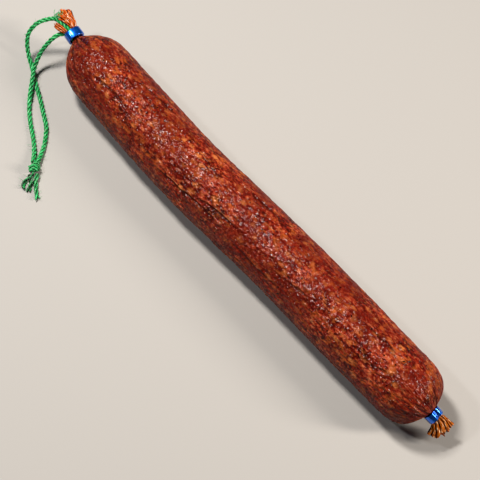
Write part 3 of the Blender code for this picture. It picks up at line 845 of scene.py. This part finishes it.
def buildCasing():
    stations, skin = casingStations()
    deselectAll()
    bpy.ops.mesh.primitive_grid_add(
        x_subdivisions=body["along"], y_subdivisions=body["around"], size=2.0)
    piece = bpy.context.object
    piece.name = piece.data.name = "casing"
    mesh = piece.data
    flat = np.empty(len(mesh.vertices) * 3)
    mesh.vertices.foreach_get("co", flat)
    flat = flat.reshape(-1, 3)
    row = np.rint((flat[:, 0] + 1.0) / 2.0 * body["along"]).astype(int)
    column = np.rint((flat[:, 1] + 1.0) / 2.0 * body["around"]).astype(int) % body["around"]
    theta = column * 2.0 * math.pi / body["around"]
    centre, axis, radius = stations[row, :3], stations[row, 3:6], stations[row, 6]
    sideways = np.array((0.0, 1.0, 0.0)) - axis * axis[:, 1:2]
    sideways /= np.linalg.norm(sideways, axis=1)[:, None]
    upward = np.cross(axis, sideways)
    along = skin[row] * 1000.0
    ends = (along[row == 0][0], along[row == body["along"]][0])
    height, depth = casingRelief(along, theta, radius, along - ends[0], ends[1] - along)
    # The relief dies away inside the clips, and the skin never stands out past the full body.
    inside = ease((radius - body["neckInside"]) / (body["neckRadius"] - body["neckInside"] + 1e-9))
    height = np.minimum(height, 0.05) * inside * np.clip(radius / 0.009, 0.15, 1.0)
    reach = radius + height / 1000.0
    points = centre + (sideways * np.cos(theta)[:, None] + upward * np.sin(theta)[:, None]) * reach[:, None]
    points[:, 2] = np.maximum(points[:, 2], 0.0)
    mesh.vertices.foreach_set("co", points.ravel())
    layer = mesh.attributes.new("casingPlace", "FLOAT_VECTOR", "POINT")
    places = np.stack([
        skin[row], body["sizeAround"] * np.cos(theta), body["sizeAround"] * np.sin(theta)], axis=1)
    layer.data.foreach_set("vector", places.astype(np.float32).ravel())
    # Relief height left after the slow swelling: it drives the painted shade in the furrows and the painted highlight
    # on the raised parts.
    layer = mesh.attributes.new("casingDepth", "FLOAT", "POINT")
    layer.data.foreach_set("value", depth.astype(np.float32))
    mesh.update()
    bpy.ops.object.mode_set(mode="EDIT")
    bpy.ops.mesh.select_all(action="SELECT")
    bpy.ops.mesh.remove_doubles(threshold=0.000001)
    bpy.ops.mesh.select_all(action="DESELECT")
    bpy.ops.mesh.select_non_manifold()
    bpy.ops.mesh.edge_face_add()
    bpy.ops.mesh.select_all(action="SELECT")
    bpy.ops.mesh.normals_make_consistent(inside=False)
    bpy.ops.object.mode_set(mode="OBJECT")
    mesh.shade_smooth()
    finishPiece(piece, casingMaterial())
    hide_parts("sausage")
    print("casing:", 2 * len(mesh.polygons), "triangles")


buildCasing()
print("casing done")


# Tails: the empty casing beyond each clip, gathered in pleats and cut off

# Each flap lies on ribs, in millimetres (out from the clip, across, up), from inside the clip to
# its cut edge. The pleats stand on the ribs.
# Each flap's shade scales its painted fold light: the flaps that lie lower are painted darker.
tails = {
    "tailLoopEnd": {
        "clip": "clipLoopEnd", "flaps": [
            {"ribs": [
                [(-3.2, -0.1, 0.0), (0.0, 0.2, 0.8), (4.0, -0.5, 2.4), (8.5, -1.0, 2.6)],
                [(-3.2, 0.6, 0.2), (0.0, 1.4, 0.9), (6.0, 1.5, 2.6), (13.4, 1.6, 2.3)],
                [(-3.2, 1.9, -0.6), (0.0, 3.0, 0.4), (5.0, 5.2, 1.1), (12.0, 7.3, 1.5)]],
             "folds": [0.0, 0.2, 0.34, 0.55, 0.7, 0.86, 1.0], "heights": [0.6, 0.8, 0.6, 0.7, 0.5, 0.7],
             "ends": [0.4, -0.8, 0.5, -0.4, 0.6, -0.3], "crumple": 0.2, "shade": 0.5, "lean": (0.0, 0.4), "seed": 2},
            {"ribs": [
                [(-3.2, 0.3, 0.9), (-1.0, 0.4, 2.7), (0.9, -0.9, 4.9), (2.9, -1.7, 5.6),
                 (5.0, -2.3, 5.6), (7.6, -3.0, 5.0), (9.6, -3.6, 4.4)],
                [(-3.2, 0.3, 1.1), (0.0, 0.9, 2.9), (3.6, 0.7, 5.2), (8.2, 0.2, 5.0),
                 (13.1, -0.2, 4.0)],
                [(-3.1, 0.9, 1.1), (0.0, 1.9, 2.3), (4.2, 2.7, 4.0), (14.6, 2.9, 3.5)],
                [(-3.2, 1.9, 0.1), (-0.2, 3.3, 1.3), (3.5, 5.1, 2.5), (11.2, 7.0, 2.8)]],
             "folds": [0.0, 0.12, 0.3, 0.44, 0.62, 0.78, 1.0], "heights": [0.7, 1.1, 0.9, 1.2, 0.9, 0.8],
             "ends": [-0.8, 0.6, -0.6, 0.6, -0.9, 0.2], "crumple": 0.2, "shade": 0.9, "lean": (0.1, 0.5), "seed": 5},
            {"ribs": [
                [(-2.8, -2.3, 1.0), (-0.4, -3.5, 1.3), (1.2, -5.2, 1.6), (3.9, -7.2, 2.1),
                 (7.7, -7.7, 2.1)],
                [(-2.7, -2.1, 1.5), (-0.4, -3.2, 2.2), (2.0, -4.6, 2.9), (4.8, -5.6, 3.2),
                 (8.7, -6.7, 3.1)],
                [(-2.6, -1.9, 1.8), (-0.4, -2.8, 2.8), (1.3, -2.9, 3.8), (5.4, -3.9, 4.1),
                 (8.8, -5.3, 3.9)]],
             "folds": [0.0, 0.36, 0.66, 1.0], "heights": [0.4, 0.6, 0.3],
             "ends": [-0.2, 0.4, -0.1], "crumple": 0.18, "shade": 1.0, "lean": (0.0, 0.3), "seed": 8}]},
    "tailPlainEnd": {
        "clip": "clipPlainEnd", "flaps": [
            {"ribs": [
                [(-2.0, -1.8, -0.4), (0.2, -3.0, -1.0), (2.6, -5.5, -2.6), (5.1, -7.8, -4.0)],
                [(-2.0, -0.8, -0.8), (0.2, -1.6, -1.8), (5.6, -3.2, -2.4), (10.2, -3.9, -2.8)],
                [(-2.0, -0.2, -0.8), (0.2, -0.6, -1.9), (6.1, -1.8, -2.3), (12.1, -3.0, -2.9)],
                [(-2.0, 0.4, -0.7), (0.2, 0.6, -1.7), (6.1, -0.2, -1.6), (11.4, -1.0, -2.0)],
                [(-2.0, 1.0, -0.4), (0.2, 1.8, -1.2), (6.1, 1.6, -1.0), (11.6, 1.2, -1.7)],
                [(-2.0, 1.6, 0.0), (0.2, 2.8, -0.4), (5.1, 3.6, 0.2), (9.6, 4.0, 0.0)]],
             "folds": [0.0, 0.2, 0.36, 0.46, 0.64, 0.82, 1.0], "heights": [0.5, 0.6, 0.6, 0.5, 0.6, 0.5],
             "ends": [0.3, -0.4, 0.4, -0.5, 0.3, -0.2], "crumple": 0.25, "shade": 0.6, "lean": (-0.4, 0.4), "seed": 3},
            {"ribs": [
                [(-2.0, -1.8, 0.2), (0.2, -3.3, 0.0), (1.9, -6.0, -1.4), (4.0, -9.0, -3.5)],
                [(-2.0, -1.2, 0.6), (0.2, -2.2, 1.0), (4.1, -4.7, 0.4), (8.9, -7.0, -2.2)],
                [(-2.0, -0.4, 0.9), (0.2, -0.8, 1.5), (4.1, -2.2, 1.4), (7.8, -3.5, -0.4)],
                [(-2.0, 0.2, 0.9), (0.2, 0.3, 1.6), (4.6, 0.0, 1.9), (9.4, -0.7, 0.2)],
                [(-2.0, 0.8, 0.7), (0.2, 1.5, 1.3), (5.1, 2.0, 1.8), (11.0, 1.9, 0.4)],
                [(-2.0, 1.6, 0.3), (0.2, 2.8, 0.6), (4.6, 4.0, 1.4), (9.6, 4.7, 0.9)]],
             "folds": [0.0, 0.09, 0.19, 0.37, 0.62, 0.8, 0.9, 1.0],
             "heights": [0.8, 1.0, 1.3, 1.2, 0.9, 0.9, 0.8],
             "ends": [-0.2, 0.7, 0.3, 0.2, -0.4, -0.9, 0.3], "crumple": 0.32, "shade": 1.0,
             "lean": (-0.5, 0.3), "seed": 11}]}}
flapSheet = {"across": 120, "along": 44, "wall": 0.00024}


# Empty smoked casing: thin glossy skin, with painted shade where the folds meet, painted light on their crests and
# painted glints along them.
def tailMaterial(name, paintedHollowShade, skinColour, paintedCrestLight, paintedGlintColour):
    material, tree = newMaterial(name)
    fold = addNode(tree, "ShaderNodeAttribute", attribute_name="foldPlace")
    parts = addNode(tree, "ShaderNodeSeparateXYZ", {0: fold.outputs["Vector"]})
    drawn = addNode(tree, "ShaderNodeMapping", {
        "Vector": fold.outputs["Vector"], "Scale": (1.0, 0.3, 0.0)})
    # Streaks along the folds, half a millimetre wide, from the gathered skin.
    streaks = addNode(tree, "ShaderNodeTexNoise", {
        "Vector": drawn.outputs[0], "Scale": 26.0, "Detail": 2.0, "Roughness": 0.6})
    place = addNode(tree, "ShaderNodeTexCoord")
    blotches = addNode(tree, "ShaderNodeTexNoise", {
        "Vector": place.outputs["Object"], "Scale": 520.0, "Detail": 2.0, "Roughness": 0.6})
    mixed = addNode(tree, "ShaderNodeMix", {
        0: 0.5, 2: streaks.outputs["Fac"], 3: blotches.outputs["Fac"]}, data_type="FLOAT")
    wavered = addNode(tree, "ShaderNodeMapRange", {
        0: mixed.outputs[0], 1: 0.35, 2: 0.65, 3: -0.42, 4: 0.3})
    level = addNode(tree, "ShaderNodeMath", {
        0: parts.outputs[2], 1: wavered.outputs[0]}, operation="ADD")
    # Painted shade in the hollows and painted light on the crests, from the fold level.
    colour = addNode(tree, "ShaderNodeValToRGB", {0: level.outputs[0]}, stops=[
        (0.30, paintedHollowShade), (0.62, skinColour), (1.0, paintedCrestLight)])
    # Painted glints: pale lines 0.7 mm wide and 4 mm long on the fold crests.
    glintPlace = addNode(tree, "ShaderNodeMapping", {
        "Vector": fold.outputs["Vector"], "Scale": (1.0, 0.16, 0.0)})
    glintNoise = addNode(tree, "ShaderNodeTexNoise", {
        "Vector": glintPlace.outputs[0], "Scale": 27.0, "Detail": 1.0, "Roughness": 0.5})
    paintedGlints = addNode(tree, "ShaderNodeMapRange", {
        0: glintNoise.outputs["Fac"], 1: 0.58, 2: 0.66, 3: 0.0, 4: 0.9})
    onCrest = addNode(tree, "ShaderNodeMath", {
        0: parts.outputs[2], 1: paintedGlints.outputs[0]}, operation="MULTIPLY")
    glinted = addNode(tree, "ShaderNodeMix", {
        0: onCrest.outputs[0], 6: colour.outputs[0], 7: hexToLinear(paintedGlintColour)},
        data_type="RGBA")
    bump = addNode(tree, "ShaderNodeBump", {
        "Strength": 1.0, "Distance": 0.0002, "Height": mixed.outputs[0]})
    shader = addNode(tree, "ShaderNodeBsdfPrincipled", {
        "Base Color": glinted.outputs[2], "Roughness": 0.4, "IOR": 1.45,
        "Specular IOR Level": 0.0, "Coat Weight": 0.1, "Coat Roughness": 0.08,
        "Coat Normal": bump.outputs[0], "Normal": bump.outputs[0]})
    addNode(tree, "ShaderNodeOutputMaterial", {"Surface": shader.outputs[0]})
    return material


# One flap: a grid laid over its ribs, then pleated.
def buildFlap(name, clip, flap):
    rim, axis, sideways, upward = clipFrame(clip)
    mouth = rim + axis * clip["width"]
    along, across = flapSheet["along"], flapSheet["across"]
    lines = []
    for rib in flap["ribs"]:
        route = smoothRoute(np.array(rib) / 1000.0, 0.0002)
        steps = np.linspace(0, len(route) - 1, along + 1)
        lines.append([np.interp(steps, np.arange(len(route)), route[:, side]) for side in range(3)])
    lines = np.array(lines)
    ribShares = np.linspace(0.0, 1.0, len(lines))
    edges, heights = np.array(flap["folds"]), np.array(flap["heights"]) / 1000.0
    longer = np.array(flap["ends"]) / 1000.0
    rng = random.Random(flap["seed"])
    lean = np.array([rng.uniform(*flap["lean"]) for _ in heights]) / 1000.0
    deselectAll()
    bpy.ops.mesh.primitive_grid_add(x_subdivisions=along, y_subdivisions=across, size=2.0)
    piece = bpy.context.object
    piece.name = piece.data.name = name
    points = np.empty((along + 1, across + 1, 3))
    crests = np.empty((along + 1, across + 1))
    for column in range(across + 1):
        share = column / across
        local = np.array([
            [np.interp(share, ribShares, lines[:, side, row]) for side in range(3)]
            for row in range(along + 1)])
        out = np.linspace(0.0, 1.0, along + 1)
        turned = np.clip(share + 0.02 * np.sin(7.0 * out + 3.0 * share), 0.0, 0.9999)
        index = np.clip(np.searchsorted(edges, turned, side="right") - 1, 0, len(heights) - 1)
        inside = (turned - edges[index]) / (edges[index + 1] - edges[index])
        # Each fold is a low round ridge that leans to one side, between narrow hollows.
        crest = np.sin(math.pi * inside) ** 0.8
        raised = 0.5 * crest + 0.35 * ease(inside / 0.16) * ease((1.0 - inside) / 0.16)
        grown = 0.35 + 0.65 * ease(out / 0.6)
        local[:, 0] += (longer[index] * crest - 0.0007 * (1.0 - crest)) * out ** 4
        lifted = (heights[index] * raised + lean[index] * (inside - 0.5) * crest) * grown
        points[:, column] = mouth + (
            local[:, :1] * axis + local[:, 1:2] * sideways + local[:, 2:] * upward)
        crests[:, column] = ease((np.sin(math.pi * inside) - 0.2) / 0.6)
        points[:, column] += 0.0
        local[:, 0] = lifted
        if column == 0:
            lifts = np.empty((along + 1, across + 1))
        lifts[:, column] = lifted
    normals = np.cross(np.gradient(points, axis=0), np.gradient(points, axis=1))
    normals /= np.linalg.norm(normals, axis=2)[..., None]
    if np.mean(normals @ upward) < 0:
        normals = -normals
    # Fine pleats 1 mm apart on the wide ones, and crumples 1.5 mm long.
    span = np.linalg.norm(np.diff(points, axis=1), axis=2).sum(axis=1).max() * 1000.0
    reach = np.linalg.norm(np.diff(points, axis=0), axis=2).sum(axis=0).max() * 1000.0
    fine = np.empty(lifts.shape)
    for row in range(along + 1):
        for column in range(across + 1):
            over, out = span * column / across, reach * row / along
            ridge = 1.0 - 2.0 * abs(noise.noise((over / 1.4, out / 8.0, flap["seed"])))
            crumple = noise.noise((over / 1.5, out / 2.4, flap["seed"] + 40.0))
            fine[row, column] = (0.14 * ridge + flap["crumple"] * crumple) / 1000.0
    points += normals * (lifts + fine * ease(np.linspace(0, 1, along + 1) / 0.3)[:, None])[..., None]
    flat = np.empty(len(piece.data.vertices) * 3)
    piece.data.vertices.foreach_get("co", flat)
    flat = flat.reshape(-1, 3)
    row = np.rint((flat[:, 0] + 1.0) / 2.0 * along).astype(int)
    column = np.rint((flat[:, 1] + 1.0) / 2.0 * across).astype(int)
    piece.data.vertices.foreach_set("co", points[row, column].ravel())
    # Fold level for the painted shade and light: it fades to hollow shade towards the clip mouth and is scaled by the
    # flap's shade, so lower flaps are painted darker.
    layer = piece.data.attributes.new("foldPlace", "FLOAT_VECTOR", "POINT")
    grown = ease(row / along / 0.25)
    layer.data.foreach_set("vector", np.stack([
        column / across, row / along, crests[row, column] * grown * flap["shade"]],
        axis=1).astype(np.float32).ravel())
    wall = piece.modifiers.new("skinWall", "SOLIDIFY")
    wall.thickness = flapSheet["wall"]
    wall.offset = 0.0
    bpy.ops.object.modifier_apply(modifier="skinWall")
    piece.data.shade_smooth()
    return piece


def buildTail(name, tail, material):
    clip = clips[tail["clip"]]
    flaps = [
        buildFlap(name + str(number), clip, flap) for number, flap in enumerate(tail["flaps"])]
    deselectAll()
    for flap in flaps:
        flap.select_set(True)
    bpy.context.view_layer.objects.active = flaps[-1]
    bpy.ops.object.join()
    flaps[-1].name = flaps[-1].data.name = name
    finishPiece(flaps[-1], material)


# Colours in order: painted hollow shade, the skin, painted crest light, painted glints.
buildTail("tailLoopEnd", tails["tailLoopEnd"], tailMaterial(
    "empty orange casing", "#1c0200", "#7c2001", "#b8520a", "#ffd8b0"))
buildTail("tailPlainEnd", tails["tailPlainEnd"], tailMaterial(
    "empty amber casing", "#280802", "#7c2e05", "#b46016", "#f0cca0"))
print("tails done")
